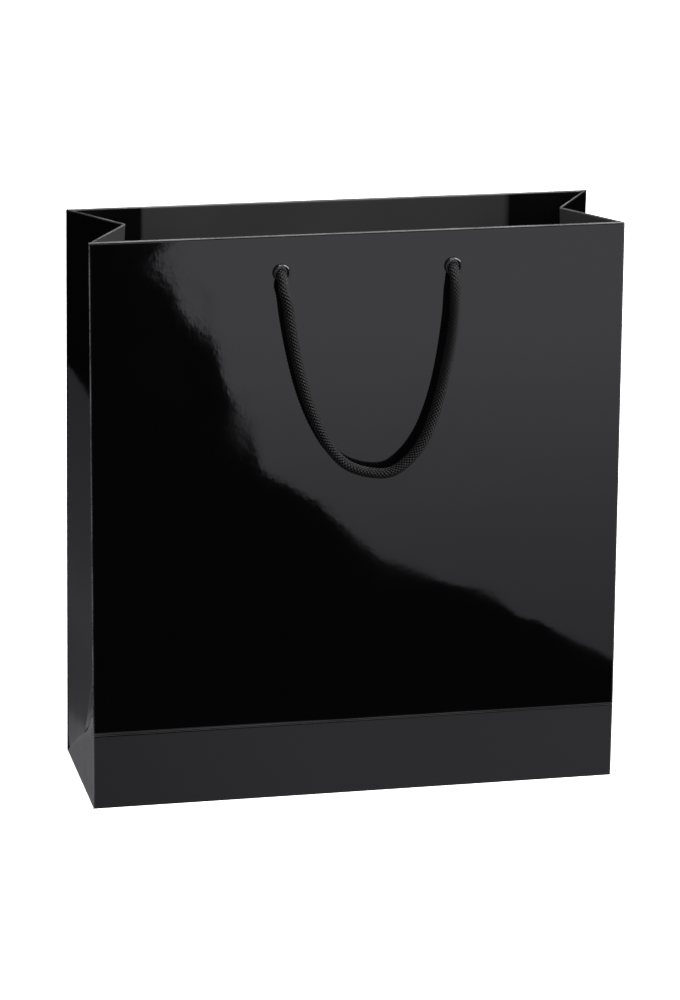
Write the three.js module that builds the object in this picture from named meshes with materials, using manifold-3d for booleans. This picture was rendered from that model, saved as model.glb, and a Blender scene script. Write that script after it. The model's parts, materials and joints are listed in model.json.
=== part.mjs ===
// Gloss paper carrier bag for wine bottles, with turned-over rim, V-folded side gussets,
// metal eyelets and braided rope handles. Millimetres, +Z up, the front faces -Y,
// origin on the ground under the middle of the bag.
import * as THREE from "three";
import { mergeVertices } from "three/addons/utils/BufferGeometryUtils.js";
import Module from "manifold-3d";

// Driving dimensions
const BAG_WIDTH = 352;
const BASE_DEPTH = 112;
const MOUTH_DEPTH = 94;
const BAG_HEIGHT = 380;
const CREASE_HEIGHT = 51; // the front wall folds here, the rear wall at the ground edge
const PAPER = 0.4;
const CARD = 1.2; // stiffening card inside the turned-over rim
const BOARD = 1.5; // loose board in the bottom
const GAP = 0.3; // clearance between neighbouring sheets
const CUFF_DEPTH = 55; // how far the rim is turned down inside
const CUFF_WIDTH = 340;
const EYELET_SPACING = 113;
const EYELET_OFFSET = 5; // both pairs were punched a little to the right of the middle
const EYELET_DROP = 24.5; // from the rim down to the front eyelets' centres
const REAR_EYELET_DROP = 31;
const EYELET_HOLE = 3.8; // radii of the eyelet
const EYELET_BARREL = 4.3;
const EYELET_FLANGE = 5.85;
const ROPE_RADIUS = 3.5;
const ROPE_STANDOFF = 10.5; // from the wall's face to the rope's centre line
const KNOT_RADIUS = 7.5;
const BOARD_INSET = 2;
const FLAP_REACH = 65; // inner bottom flaps, in from each side
const SEAM_WIDTH = 18;
const GUSSET_CURVE = 0.6; // how early the gusset folds in on its way up
const HEM_LAYER = 1; // how far a gusset's hem lies inside its outer sheet

// Worked out from the driving dimensions
const HALF_WIDTH = BAG_WIDTH / 2;
const HALF_BASE = BASE_DEPTH / 2;
const HALF_MOUTH = MOUTH_DEPTH / 2;
const GUSSET_TUCK = Math.sqrt(HALF_BASE ** 2 - HALF_MOUTH ** 2);
const APEX_LOW = CREASE_HEIGHT / 2; // where the gusset's middle fold starts
const CARD_FACE = PAPER + GAP;
const CUFF_FACE = CARD_FACE + CARD + GAP;
const STACK = CUFF_FACE + PAPER;
const WASHER_FACE = STACK + GAP;
const ROLL_FACE = WASHER_FACE + PAPER + GAP;
const FLAP_LEVEL = PAPER + GAP;
const BOARD_LEVEL = FLAP_LEVEL + PAPER + GAP;

// The route of one rope handle between its elbows: across the wall, down from the
// eyelets, and out from the wall's face.
const ROPE_ROUTE = [
  [-56.6, 4.7, 10.4], [-54.9, 16, 9.3], [-53, 29, 10], [-50.9, 42, 10], [-48.1, 56, 9.8],
  [-44.3, 71.5, 9.8], [-39.1, 88, 9.7], [-32.7, 103, 9.1], [-24.5, 117, 8.2],
  [-14.3, 127.5, 7.3], [0, 133.2, 7.1], [14.5, 133.6, 8], [26.7, 125.4, 9], [36.5, 112.2, 9.4],
  [42.9, 96.8, 8.9], [47.6, 80.4, 8.6], [51, 64, 9], [53.7, 48, 9.9], [55.6, 32, 10.2],
  [56.2, 17, 9.3], [56.6, 4.7, 10.4],
];
const ROPE_STEPS = 44;
const ROPE_SIDES = 10;
const ROUND_SIDES = 24;

const paper = { color: 0x0b0b0c, roughness: 0.08, metalness: 0 };
const card = { color: 0x9b9890, roughness: 0.9, metalness: 0 };
const metal = { color: 0x08080a, roughness: 0.2, metalness: 0.7 };
const rope = { color: 0x0c0c0d, roughness: 0.75, metalness: 0 };

const wasm = await Module();
wasm.setup();
const group = new THREE.Group();

/** Adds one named piece to the bag or to one of its walls. */
function add(parent, name, geometry, finish) {
  const mesh = new THREE.Mesh(geometry, new THREE.MeshStandardMaterial(finish));
  mesh.name = name;
  parent.add(mesh);
}

/** A box between two corners. */
function slab([x0, y0, z0], [x1, y1, z1]) {
  const box = new THREE.BoxGeometry(x1 - x0, y1 - y0, z1 - z0);
  return box.translate((x0 + x1) / 2, (y0 + y1) / 2, (z0 + z1) / 2);
}

/** A flat outline of [across, up] points, standing up, with its outer face at y = face. */
function upright(points, face, thickness, holes = []) {
  const outline = new THREE.Shape(points.map(([x, z]) => new THREE.Vector2(x, z)));
  for (const [x, z, radius] of holes) {
    outline.holes.push(new THREE.Path().absarc(x, z, radius, 0, 2 * Math.PI, true));
  }
  const plate = new THREE.ExtrudeGeometry(outline, {
    depth: thickness,
    bevelEnabled: false,
    curveSegments: ROUND_SIDES / 2,
  });
  return plate.rotateX(Math.PI / 2).translate(0, face + thickness, 0);
}

/** The corners of an upright rectangle. */
function rectangle(halfWidth, low, high) {
  return [[-halfWidth, low], [halfWidth, low], [halfWidth, high], [-halfWidth, high]];
}

/** A closed mesh as a solid that can be joined to another. */
function solid(geometry) {
  const bare = geometry.clone();
  bare.deleteAttribute("normal");
  bare.deleteAttribute("uv");
  const merged = mergeVertices(bare, 1e-4);
  return new wasm.Manifold(new wasm.Mesh({
    numProp: 3,
    vertProperties: new Float32Array(merged.attributes.position.array),
    triVerts: new Uint32Array(merged.index.array),
  }));
}

/** Two overlapping closed meshes joined into one. */
function joined(first, second) {
  const mesh = solid(first).add(solid(second)).getMesh();
  const geometry = new THREE.BufferGeometry();
  geometry.setAttribute("position", new THREE.BufferAttribute(mesh.vertProperties, 3));
  geometry.setIndex(new THREE.BufferAttribute(mesh.triVerts, 1));
  return geometry;
}

/** A turned piece about the wall's normal, from [radius, y] points. */
function turned(points) {
  const profile = points.map(([radius, y]) => new THREE.Vector2(radius, y));
  return new THREE.LatheGeometry(profile, ROUND_SIDES);
}

/** A thin sheet whose middle follows place(u, v), thickened towards the inside. */
function bentSheet(place, inward, columns, rows) {
  const sheet = new THREE.BoxGeometry(1, 1, 1, columns, rows, 1);
  const position = sheet.attributes.position;
  for (let i = 0; i < position.count; i += 1) {
    const point = place(position.getX(i) + 0.5, position.getY(i) + 0.5);
    const depth = PAPER * (position.getZ(i) + 0.5);
    position.setXYZ(i, point.x + inward * depth, point.y, point.z);
  }
  return sheet;
}

/** Turns a mesh's faces over where its shape was mirrored on the way. */
function turnedOver(geometry) {
  const index = geometry.index.array;
  for (let i = 0; i < index.length; i += 3) {
    [index[i], index[i + 1]] = [index[i + 1], index[i]];
  }
  return geometry;
}

function addBase() {
  add(group, "bottom_outer_flap",
    slab([-HALF_WIDTH, -HALF_BASE, 0], [HALF_WIDTH, HALF_BASE, PAPER]), paper);
  const flapEdge = HALF_WIDTH - CARD_FACE;
  const flapSide = HALF_BASE - 1;
  for (const [side, name] of [[-1, "bottom_inner_flap_left"], [1, "bottom_inner_flap_right"]]) {
    const ends = [side * flapEdge, side * (flapEdge - FLAP_REACH)].sort((a, b) => a - b);
    add(group, name, slab([ends[0], -flapSide, FLAP_LEVEL],
      [ends[1], flapSide, FLAP_LEVEL + PAPER]), paper);
  }
  const boardX = HALF_WIDTH - BOARD_INSET;
  const boardY = HALF_BASE - BOARD_INSET;
  add(group, "bottom_board",
    slab([-boardX, -boardY, BOARD_LEVEL], [boardX, boardY, BOARD_LEVEL + BOARD]), card);
  add(group, "front_base_strip", slab([-HALF_WIDTH, -HALF_BASE, FLAP_LEVEL],
    [HALF_WIDTH, PAPER - HALF_BASE, CREASE_HEIGHT - GAP]), paper);
}

/** The part of a side that stays flat, under the slanting fold. */
function addFootFold(name, side) {
  const reach = HALF_BASE - CARD_FACE;
  const slope = CREASE_HEIGHT / BASE_DEPTH;
  const corner = [-reach, CREASE_HEIGHT - slope * CARD_FACE - GAP];
  const heel = [reach - FLAP_LEVEL / slope, FLAP_LEVEL];
  const flat = upright([[-reach, FLAP_LEVEL], heel, corner], 0, PAPER);
  const face = side < 0 ? -HALF_WIDTH : HALF_WIDTH - PAPER;
  add(group, name, flat.rotateZ(Math.PI / 2).translate(face + PAPER, 0, 0), paper);
}

/** How far the gusset's middle fold stands in from the side, at a height. */
function tuckAt(z) {
  const rise = Math.max(0, (z - APEX_LOW) / (BAG_HEIGHT - APEX_LOW));
  return GUSSET_TUCK * rise ** GUSSET_CURVE;
}

/** One half of a side gusset: side is -1 for left, facing is -1 for the front half. */
function addHalfGusset(name, side, facing) {
  const foot = facing < 0 ? CREASE_HEIGHT : 0;
  const sheetPlace = (low, across, layer) => (fromEdge, v) => {
    const u = across + (1 - across) * fromEdge;
    const start = low + (1 - low) * v;
    const edgeZ = foot + (BAG_HEIGHT - foot) * start + GAP;
    const middleZ = APEX_LOW + (BAG_HEIGHT - APEX_LOW) * start + GAP;
    const edgeY = HALF_BASE - (HALF_BASE - HALF_MOUTH) * start - CARD_FACE;
    const x = HALF_WIDTH - tuckAt(middleZ) * u - layer;
    const z = Math.min(edgeZ + (middleZ - edgeZ) * u, BAG_HEIGHT);
    return new THREE.Vector3(side * x, facing * (edgeY + (GAP - edgeY) * u), z);
  };
  const shape = (place, rows) => {
    const sheet = bentSheet(place, -side, 4, rows);
    return side * facing > 0 ? sheet : turnedOver(sheet);
  };
  add(group, `${name}_gusset`, shape(sheetPlace(0, 0, 0), 12), paper);
  const hemStart = 1 - CUFF_DEPTH / BAG_HEIGHT;
  add(group, `${name}_gusset_hem`, shape(sheetPlace(hemStart, 0.08, HEM_LAYER), 3), paper);
}

/** The metal eyelet: a domed flange outside, a barrel, and a rolled edge inside. */
function eyelet() {
  const rim = EYELET_FLANGE;
  return turned([
    [EYELET_HOLE, -1.2], [4.3, -1.7], [4.9, -1.8], [5.5, -1.4], [rim, -0.7],
    [rim, -GAP], [EYELET_BARREL, -GAP], [EYELET_BARREL, ROLL_FACE], [5.6, ROLL_FACE],
    [rim, ROLL_FACE + 0.3], [5.5, ROLL_FACE + 0.8], [4.6, ROLL_FACE + 0.8],
    [EYELET_HOLE, ROLL_FACE + 0.5], [EYELET_HOLE, -1.2],
  ]);
}

function washer() {
  const inner = EYELET_BARREL + GAP;
  const outer = EYELET_FLANGE + 0.6;
  return turned([
    [inner, WASHER_FACE], [outer, WASHER_FACE], [outer, WASHER_FACE + PAPER],
    [inner, WASHER_FACE + PAPER], [inner, WASHER_FACE],
  ]);
}

/** The rope through an eyelet: a round elbow outside and the knot that holds it inside. */
function ropeEnd() {
  const points = [];
  for (let i = 0; i <= 4; i += 1) {
    const turn = (i * Math.PI) / 8;
    const y = -ROPE_STANDOFF - ROPE_RADIUS * Math.cos(turn);
    points.push([i === 0 ? 0 : ROPE_RADIUS * Math.sin(turn), y]);
  }
  const knotFace = ROLL_FACE + 1.2;
  points.push([ROPE_RADIUS, knotFace]);
  for (let i = 1; i <= 7; i += 1) {
    const turn = (i * Math.PI) / 7;
    const radius = i === 7 ? 0 : Math.max(KNOT_RADIUS * Math.sin(turn), ROPE_RADIUS + 0.2);
    points.push([i === 7 ? 0 : radius, knotFace + 5.4 * (1 - Math.cos(turn))]);
  }
  return turned(points);
}

/** The rope loop outside a wall, from one elbow to the other. */
function ropeLoop(level) {
  const points = ROPE_ROUTE.map(([x, down, out]) => new THREE.Vector3(x, -out, level - down));
  const section = new THREE.Shape();
  for (let i = 0; i < ROPE_SIDES; i += 1) {
    const turn = (2 * Math.PI * i) / ROPE_SIDES;
    const corner = [ROPE_RADIUS * Math.cos(turn), ROPE_RADIUS * Math.sin(turn)];
    if (i === 0) section.moveTo(...corner);
    else section.lineTo(...corner);
  }
  return new THREE.ExtrudeGeometry(section, {
    steps: ROPE_STEPS,
    bevelEnabled: false,
    extrudePath: new THREE.CatmullRomCurve3(points, false, "centripetal"),
  });
}

/** One main wall with its rim, card, eyelets, knots and rope, leaning in from its fold. */
function addWall(name, foldHeight, startAbove, turn) {
  const rise = BAG_HEIGHT - foldHeight;
  const lean = Math.atan((HALF_BASE - HALF_MOUTH) / rise);
  const length = rise / Math.cos(lean);
  const wall = new THREE.Group();
  wall.rotation.x = -lean;
  wall.position.set(0, -HALF_BASE, foldHeight);
  const facing = new THREE.Group();
  facing.rotation.z = turn;
  facing.add(wall);
  group.add(facing);

  const level = length - (turn === 0 ? EYELET_DROP : REAR_EYELET_DROP);
  const middle = turn === 0 ? EYELET_OFFSET : -EYELET_OFFSET;
  const sides = [[-1, "left"], [1, "right"]];
  const holes = sides.map(([side]) => [
    middle + (side * EYELET_SPACING) / 2, level, EYELET_BARREL + GAP,
  ]);
  const panelTop = length - PAPER - GAP;
  add(wall, `${name}_panel`,
    upright(rectangle(HALF_WIDTH, startAbove, panelTop), 0, PAPER, holes), paper);
  const halfCuff = CUFF_WIDTH / 2;
  add(wall, `${name}_rim_card`, upright(
    rectangle(halfCuff, length - CUFF_DEPTH + 2, panelTop), CARD_FACE, CARD, holes), card);
  const turnedDown = upright(
    rectangle(halfCuff, length - CUFF_DEPTH, length), CUFF_FACE, PAPER, holes);
  const rimFold = slab([-halfCuff, 0, length - PAPER], [halfCuff, STACK, length]);
  add(wall, `${name}_cuff`, joined(turnedDown, rimFold), paper);
  for (const [side, label] of sides) {
    const x = middle + (side * EYELET_SPACING) / 2;
    add(wall, `${name}_${label}_eyelet`, eyelet().translate(x, 0, level), metal);
    add(wall, `${name}_${label}_washer`, washer().translate(x, 0, level), metal);
    add(wall, `${name}_${label}_rope_end`, ropeEnd().translate(x, 0, level), rope);
  }
  add(wall, `${name}_rope_handle`, ropeLoop(level).translate(middle, 0, 0), rope);
  return { wall, length };
}

/** The glued overlap that closes the wrap, on the inside of the rear wall. */
function addSideSeam({ wall, length }) {
  const outer = HALF_WIDTH - 4;
  add(wall, "side_seam_flap", slab([outer - SEAM_WIDTH, CARD_FACE, 8],
    [outer, CARD_FACE + PAPER, length - CUFF_DEPTH - 3]), paper);
}

addBase();
addFootFold("left_foot_fold", -1);
addFootFold("right_foot_fold", 1);
addWall("front", CREASE_HEIGHT, GAP, 0);
addSideSeam(addWall("rear", 0, FLAP_LEVEL, Math.PI));
addHalfGusset("left_front", -1, -1);
addHalfGusset("left_rear", -1, 1);
addHalfGusset("right_front", 1, -1);
addHalfGusset("right_rear", 1, 1);

export default group;
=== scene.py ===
"""The looks of a gloss paper gift bag for wine bottles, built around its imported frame."""
import json
import logging
import math
from dataclasses import dataclass
from enum import Enum
from typing import Callable, Sequence

import bpy
import numpy as np
from mathutils import Euler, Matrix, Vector, noise


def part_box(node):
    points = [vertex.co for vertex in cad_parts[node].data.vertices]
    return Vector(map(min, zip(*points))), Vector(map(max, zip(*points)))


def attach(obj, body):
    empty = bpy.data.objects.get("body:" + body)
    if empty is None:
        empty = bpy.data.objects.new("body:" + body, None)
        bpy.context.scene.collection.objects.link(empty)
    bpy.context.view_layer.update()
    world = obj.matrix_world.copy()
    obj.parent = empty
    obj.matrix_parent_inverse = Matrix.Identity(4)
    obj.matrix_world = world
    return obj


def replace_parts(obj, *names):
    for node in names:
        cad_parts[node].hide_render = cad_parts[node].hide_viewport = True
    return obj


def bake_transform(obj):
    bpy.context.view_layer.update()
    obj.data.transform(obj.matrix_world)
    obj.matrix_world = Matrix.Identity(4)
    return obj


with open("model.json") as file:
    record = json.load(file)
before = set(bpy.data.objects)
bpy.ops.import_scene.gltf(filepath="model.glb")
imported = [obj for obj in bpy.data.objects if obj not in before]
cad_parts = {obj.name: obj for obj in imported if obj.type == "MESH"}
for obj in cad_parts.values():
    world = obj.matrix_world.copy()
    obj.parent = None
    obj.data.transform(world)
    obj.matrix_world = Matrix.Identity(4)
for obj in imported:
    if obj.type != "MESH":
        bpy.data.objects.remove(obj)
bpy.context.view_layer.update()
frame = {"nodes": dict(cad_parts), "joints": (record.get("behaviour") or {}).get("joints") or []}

LOG = logging.getLogger("gift_bag")
MM = 0.001

Point = tuple[float, float, float]
Inputs = dict[str | int, object]


class Side(Enum):
    """Left or right of the bag, seen from the front; the value is the sign of X."""

    LEFT = -1
    RIGHT = 1


class Facing(Enum):
    """Front or rear of the bag; the value is the sign of Y."""

    FRONT = -1
    REAR = 1


# ---------------------------------------------------------------- node trees


@dataclass(frozen=True)
class Num:
    """A number in a node tree; arithmetic on it adds Math nodes."""

    tree: "Tree"
    socket: bpy.types.NodeSocket

    def math(self, operation: str, *others: "Num | float") -> "Num":
        """One Math node's result, with self in its first socket and others in the rest."""
        inputs = dict(enumerate((self, *others)))
        return Num(self.tree, self.tree.out("ShaderNodeMath", {"operation": operation}, inputs))

    def __add__(self, other: "Num | float") -> "Num":
        """Self plus other."""
        return self.math("ADD", other)

    __radd__ = __add__

    def __sub__(self, other: "Num | float") -> "Num":
        """Self minus other."""
        return self.math("SUBTRACT", other)

    def __rsub__(self, other: float) -> "Num":
        """Other minus self."""
        return self.math("MULTIPLY", -1.0).math("ADD", other)

    def __mul__(self, other: "Num | float") -> "Num":
        """Self times other."""
        return self.math("MULTIPLY", other)

    __rmul__ = __mul__

    def sine(self) -> "Num":
        """The sine of self, in radians."""
        return self.math("SINE")

    def larger(self, other: "Num | float") -> "Num":
        """The larger of self and other."""
        return self.math("MAXIMUM", other)

    def between(self, low: float, high: float) -> "Num":
        """A smooth step from 0 where self is low to 1 where it is high."""
        inputs = {"Value": self, "From Min": low, "From Max": high}
        made = self.tree.out("ShaderNodeMapRange", {"interpolation_type": "SMOOTHSTEP"}, inputs)
        return Num(self.tree, made)


@dataclass(frozen=True)
class Tree:
    """A shader or geometry node tree, with one way of making every node."""

    tree: bpy.types.NodeTree

    def feed(self, node: bpy.types.Node, inputs: Inputs) -> None:
        """Sets or links a node's input sockets.

        Args:
            node: the node.
            inputs: a value, a socket or a Num for each of the sockets.
        """
        for name, value in inputs.items():
            if isinstance(value, Num):
                value = value.socket
            if isinstance(value, bpy.types.NodeSocket):
                self.tree.links.new(value, node.inputs[name])
            else:
                node.inputs[name].default_value = value

    def node(
        self, kind: str, settings: dict[str, object] | None = None, inputs: Inputs | None = None
    ) -> bpy.types.Node:
        """Adds a node.

        Args:
            kind: the node's type name.
            settings: its properties, which are set first.
            inputs: what its input sockets get.

        Returns:
            The node.
        """
        made = self.tree.nodes.new(kind)
        for name, value in (settings or {}).items():
            setattr(made, name, value)
        self.feed(made, inputs or {})
        return made

    def out(self, kind: str, settings: dict[str, object], inputs: Inputs) -> bpy.types.NodeSocket:
        """Adds a node and gives its first output."""
        return self.node(kind, settings, inputs).outputs[0]

    def kept(
        self, line: bpy.types.NodeSocket, label: str, value: bpy.types.NodeSocket
    ) -> bpy.types.Node:
        """Keeps a value with each point of a curve.

        Args:
            line: the curve.
            label: what the value is called.
            value: the value.

        Returns:
            The node that gives the curve and the value.
        """
        made = self.node("GeometryNodeCaptureAttribute")
        made.capture_items.new("FLOAT", label)
        self.feed(made, {"Geometry": line, label: value})
        return made

    def num(self, node: bpy.types.Node, output: str | int = 0) -> Num:
        """One output of a node as a number."""
        return Num(self, node.outputs[output])

    def noise(self, where: bpy.types.NodeSocket, scale: float, detail: float) -> Num:
        """Noise, about 0.5 on average, with scale features to a metre and finer layers."""
        inputs = {"Vector": where, "Scale": scale, "Detail": detail}
        return self.num(self.node("ShaderNodeTexNoise", {}, inputs), "Fac")

    def place(self) -> bpy.types.NodeSocket:
        """The piece's own coordinates, in metres."""
        return self.node("ShaderNodeTexCoord").outputs["Object"]

    def amount(self, name: str) -> Num:
        """A named value of the piece's vertices."""
        return self.num(self.node("ShaderNodeAttribute", {"attribute_name": name}), "Fac")

    def bump(self, height: Num, distance: float) -> bpy.types.NodeSocket:
        """A normal that follows a height, with the relief's depth in metres."""
        made = self.node("ShaderNodeBump", {}, {"Height": height, "Distance": distance})
        return made.outputs["Normal"]

    def stretched(self, where: bpy.types.NodeSocket, scale: Point) -> bpy.types.NodeSocket:
        """Coordinates that are scaled along each axis."""
        return self.out("ShaderNodeMapping", {}, {"Vector": where, "Scale": scale})

    def mixed(self, factor: Num, low: Point, high: Point) -> bpy.types.NodeSocket:
        """A colour that goes from low at factor 0 to high at factor 1."""
        inputs = {"Factor": factor, 6: (*low, 1.0), 7: (*high, 1.0)}
        return self.node("ShaderNodeMix", {"data_type": "RGBA"}, inputs).outputs[2]


def new_material(name: str) -> tuple[bpy.types.Material, Tree, bpy.types.Node]:
    """Makes an empty material.

    Args:
        name: the material's name.

    Returns:
        The material, its tree and its Principled shader.
    """
    material = bpy.data.materials.new(name)
    material.use_nodes = True
    tree = Tree(material.node_tree)
    return material, tree, material.node_tree.nodes["Principled BSDF"]


def linked(name: str, data: bpy.types.ID) -> bpy.types.Object:
    """Makes an object of some data and puts it in the scene.

    Args:
        name: the object's name.
        data: its mesh, curve, light or camera.

    Returns:
        The object.
    """
    made = bpy.data.objects.new(name, data)
    bpy.context.scene.collection.objects.link(made)
    return made


# ---------------------------------------------------------------- finishes


@dataclass(frozen=True)
class Finish:
    """A finish that is drawn on a piece's own coordinates."""

    label: str

    def sockets(self, tree: Tree) -> Inputs:
        """What feeds the shader, which each finish works out for itself."""
        raise NotImplementedError

    def material(self) -> bpy.types.Material:
        """Makes the material."""
        material, tree, shader = new_material(self.label)
        tree.feed(shader, self.sockets(tree))
        return material


@dataclass(frozen=True)
class GlossLaminate(Finish):
    """Black printed paper under a clear gloss film, greyed along folds and edges as cracked ink and
    painted highlight.
    """

    label: str = "gloss_laminate"
    ink: Point = (0.0012, 0.0012, 0.0014)
    # grey of cracked ink at the folds, which also serves as painted highlight along them
    scuff_and_highlight: Point = (0.26, 0.26, 0.27)
    roughness: float = 0.035
    smear: float = 0.03
    relief: float = 0.85e-5

    def sockets(self, tree: Tree) -> Inputs:
        """Works out what feeds the shader.

        Args:
            tree: the material's tree.

        Returns:
            A value or a link for each of its sockets.
        """
        place = tree.place()
        streaks = tree.noise(tree.stretched(place, (1.0, 1.0, 0.45)), 640.0, 3.0)
        peel = tree.noise(place, 190.0, 1.0)
        fine = tree.noise(place, 1500.0, 2.0)
        patches = tree.noise(place, 22.0, 3.0)
        # grey flecks along folds and edges: partly cracked ink, partly painted highlight where the
        # rounded folds catch the light
        wear = tree.amount("wear")
        cracks_and_highlight = wear * (fine * 0.6 + patches * 0.7).between(0.42, 0.78)
        relief = streaks * 0.3 + peel * 0.8 + cracks_and_highlight * 1.6
        return {
            "Base Color": tree.mixed(cracks_and_highlight * 0.55, self.ink, self.scuff_and_highlight),
            "Roughness": patches.between(0.4, 0.75) * self.smear + self.roughness + cracks_and_highlight * 0.3,
            "Normal": tree.bump(relief, self.relief),
        }


@dataclass(frozen=True)
class CuffLaminate(Finish):
    """The same paper turned in at the rim, with a grey painted sheen over its middle and painted
    shade left dark near the corners.
    """

    label: str = "cuff_laminate"
    ink: Point = (0.0015, 0.0015, 0.0017)
    # grey of the painted sheen on the middle of the turned-in paper
    worn_and_sheen: Point = (0.0235, 0.0235, 0.0245)
    roughness: float = 0.2
    relief: float = 0.6e-5

    def sockets(self, tree: Tree) -> Inputs:
        """Works out what feeds the shader.

        Args:
            tree: the material's tree.

        Returns:
            A value or a link for each of its sockets.
        """
        place = tree.place()
        dull = tree.amount("dull")
        clouds = tree.noise(place, 16.0, 2.0)
        sheen_streaks = tree.noise(tree.stretched(place, (0.15, 1.0, 1.0)), 900.0, 3.0)
        # painted sheen where the zone is 1; near the corners the zone is 0 and the cuff stays dark
        # as painted shade
        painted_sheen = dull * (clouds * 0.5 + sheen_streaks * 0.12 + 0.6)
        return {
            "Base Color": tree.mixed(painted_sheen, self.ink, self.worn_and_sheen),
            "Roughness": dull * 0.22 + sheen_streaks * 0.05 + self.roughness,
            "Normal": tree.bump(sheen_streaks, self.relief),
        }


@dataclass(frozen=True)
class Fibrous(Finish):
    """Uncoated paper or board: by default the back of the paper, dyed dark and left matt."""

    label: str = "raw_paper"
    pulp: Point = (0.011, 0.011, 0.012)
    fibre: Point = (0.028, 0.028, 0.029)
    stretch: Point = (0.4, 1.0, 0.5)
    fineness: float = 1900.0
    clouding: float = 45.0
    strength: float = 0.7
    roughness: float = 0.72
    variation: float = 0.15
    relief: float = 4.0e-5

    def sockets(self, tree: Tree) -> Inputs:
        """Works out what feeds the shader.

        Args:
            tree: the material's tree.

        Returns:
            A value or a link for each of its sockets.
        """
        place = tree.place()
        fibres = tree.noise(tree.stretched(place, self.stretch), self.fineness, 4.0)
        clouds = tree.noise(place, self.clouding, 3.0)
        tone = (fibres * self.strength + clouds * 0.5).between(0.45, 0.85)
        return {
            "Base Color": tree.mixed(tone, self.pulp, self.fibre),
            "Roughness": fibres * self.variation + self.roughness,
            "Normal": tree.bump(fibres, self.relief),
        }


GREY_BOARD = Fibrous(
    "grey_board", (0.24, 0.23, 0.2), (0.42, 0.4, 0.36), (0.25, 1.0, 1.0), fineness=1400.0,
    clouding=60.0, strength=0.8, roughness=0.82, variation=0.1, relief=1.2e-4,
)


@dataclass(frozen=True)
class EnamelledMetal(Finish):
    """Thin black enamel on pressed metal, rubbed a little on its high edges."""

    label: str = "enamelled_metal"
    enamel: Point = (0.006, 0.006, 0.007)
    worn_and_sheen: Point = (0.75, 0.75, 0.77)

    def sockets(self, tree: Tree) -> Inputs:
        """Works out what feeds the shader.

        Args:
            tree: the material's tree.

        Returns:
            A value or a link for each of its sockets.
        """
        place = tree.place()
        grain = tree.noise(place, 2600.0, 3.0)
        patches = tree.noise(place, 420.0, 2.0)
        bare = (grain * 0.5 + patches * 0.6).between(0.68, 0.82) * 0.12
        worn = tree.amount("worn")
        return {
            "Base Color": tree.mixed(bare + worn, self.enamel, self.worn_and_sheen),
            "Metallic": worn * 0.85 + 0.1,
            "Roughness": grain * 0.08 + 0.1,
            "Coat Weight": patches * 0.3 + 0.2,
            "Normal": tree.bump(grain, 8.0e-6),
            "Coat Roughness": 0.08,
        }


@dataclass(frozen=True)
class BraidedYarn(Finish):
    """Black filament yarn in a tight tubular braid, with painted highlight on the strand crowns and
    painted shade in the grooves.
    """

    label: str = "braided_yarn"
    # groove colour, darkened as painted shade; the crown colour is lightened as painted highlight
    deep: Point = (0.0008, 0.0008, 0.0009)
    painted_crown_highlight: Point = (0.0115, 0.0115, 0.0125)

    def sockets(self, tree: Tree) -> Inputs:
        """Works out what feeds the shader.

        Args:
            tree: the material's tree.

        Returns:
            A value or a link for each of its sockets.
        """
        place = tree.place()
        height = tree.amount("braid")
        filaments = tree.noise(place, 5200.0, 2.0)
        clouds = tree.noise(place, 300.0, 2.0)
        # mask of painted highlight on the strand crowns, with painted shade between them
        crown_highlight_mask = (height * 0.9 + filaments * 0.3).between(0.55, 0.95) * (clouds * 0.4 + 0.8)
        return {
            "Base Color": tree.mixed(crown_highlight_mask, self.deep, self.painted_crown_highlight),
            "Roughness": filaments * 0.2 + 0.35,
            "Normal": tree.bump(filaments * 0.5 + height, 1.6e-4),
            "Specular IOR Level": 0.15,
        }


# ---------------------------------------------------------------- meshes


def curve_through(points: Sequence[Point], step: float) -> np.ndarray:
    """A smooth centripetal curve through points, evenly spaced.

    Args:
        points: the points that it passes through.
        step: the distance between the points returned.

    Returns:
        The points along the curve, one row each.
    """
    given = np.array(points, float)
    padded = np.concatenate([[2 * given[0] - given[1]], given, [2 * given[-1] - given[-2]]])
    drawn = []
    for p0, p1, p2, p3 in zip(padded, padded[1:], padded[2:], padded[3:]):
        knots = np.cumsum([0.0] + [np.linalg.norm(d) ** 0.5 for d in (p1 - p0, p2 - p1, p3 - p2)])
        t = np.linspace(knots[1], knots[2], 24, endpoint=False)[:, None]
        row = [p0, p1, p2, p3]
        for spans in (((0, 1), (1, 2), (2, 3)), ((0, 2), (1, 3)), ((1, 2),)):
            row = [
                ((knots[j] - t) * a + (t - knots[i]) * b) / (knots[j] - knots[i])
                for (i, j), a, b in zip(spans, row, row[1:])
            ]
        drawn.append(row[0])
    line = np.concatenate([*drawn, given[-1:]])
    along = np.concatenate([[0.0], np.cumsum(np.linalg.norm(np.diff(line, axis=0), axis=1))])
    places = np.linspace(0.0, along[-1], max(2, round(along[-1] / step) + 1))
    return np.stack([np.interp(places, along, line[:, k]) for k in range(3)], axis=1)


def finished(
    name: str,
    points: np.ndarray,
    faces: list[tuple[int, ...]],
    materials: Sequence[bpy.types.Material],
    amounts: dict[str, np.ndarray] | None = None,
    slots: Sequence[int] | None = None,
) -> bpy.types.Object:
    """Makes a smooth-shaded object at the origin.

    Args:
        name: the piece's name.
        points: its vertices, one row each, in metres.
        faces: its faces.
        materials: its material slots.
        amounts: named values of each vertex, from 0 to 1, for its materials.
        slots: the material slot of each face.

    Returns:
        The object.
    """
    mesh = bpy.data.meshes.new(name)
    mesh.from_pydata([tuple(p) for p in points], [], faces)
    for material in materials:
        mesh.materials.append(material)
    for label, values in (amounts or {}).items():
        mesh.attributes.new(label, "FLOAT", "POINT").data.foreach_set(
            "value", values.astype(np.float32)
        )
    if slots is not None:
        mesh.polygons.foreach_set("material_index", np.array(slots, np.int32))
    mesh.validate()
    mesh.shade_smooth()
    LOG.info("%s: %d faces", name, len(mesh.polygons))
    return linked(name, mesh)


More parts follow.
